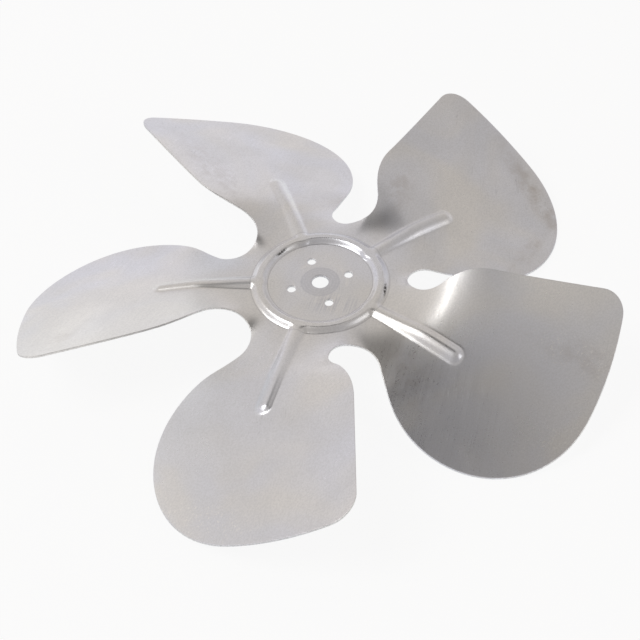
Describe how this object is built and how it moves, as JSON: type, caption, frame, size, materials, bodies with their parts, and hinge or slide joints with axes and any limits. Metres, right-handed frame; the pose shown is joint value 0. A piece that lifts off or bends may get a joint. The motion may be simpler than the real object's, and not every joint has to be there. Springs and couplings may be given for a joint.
{
  "type": "axial fan impeller",
  "caption": "Axial fan impeller pressed from one aluminium sheet: pitched rounded blades with stiffening ribs round a flat hub disc with a bore and screw holes.",
  "frame": {"origin": "centre of the bore, in the hub disc's upper face", "axes": "+Z along the shaft axis, out of the hub face that the ring bead and ribs stand up from; +X along the rib of the first blade; trailing edges point up +Z"},
  "size_m": [0.2951, 0.2933, 0.0422],
  "materials": {
    "aluminium": "satin mill-finish rolled sheet with fine scratches and handling marks"
  },
  "bodies": {
    "root": {"impeller": "aluminium"}
  },
  "joints": []
}
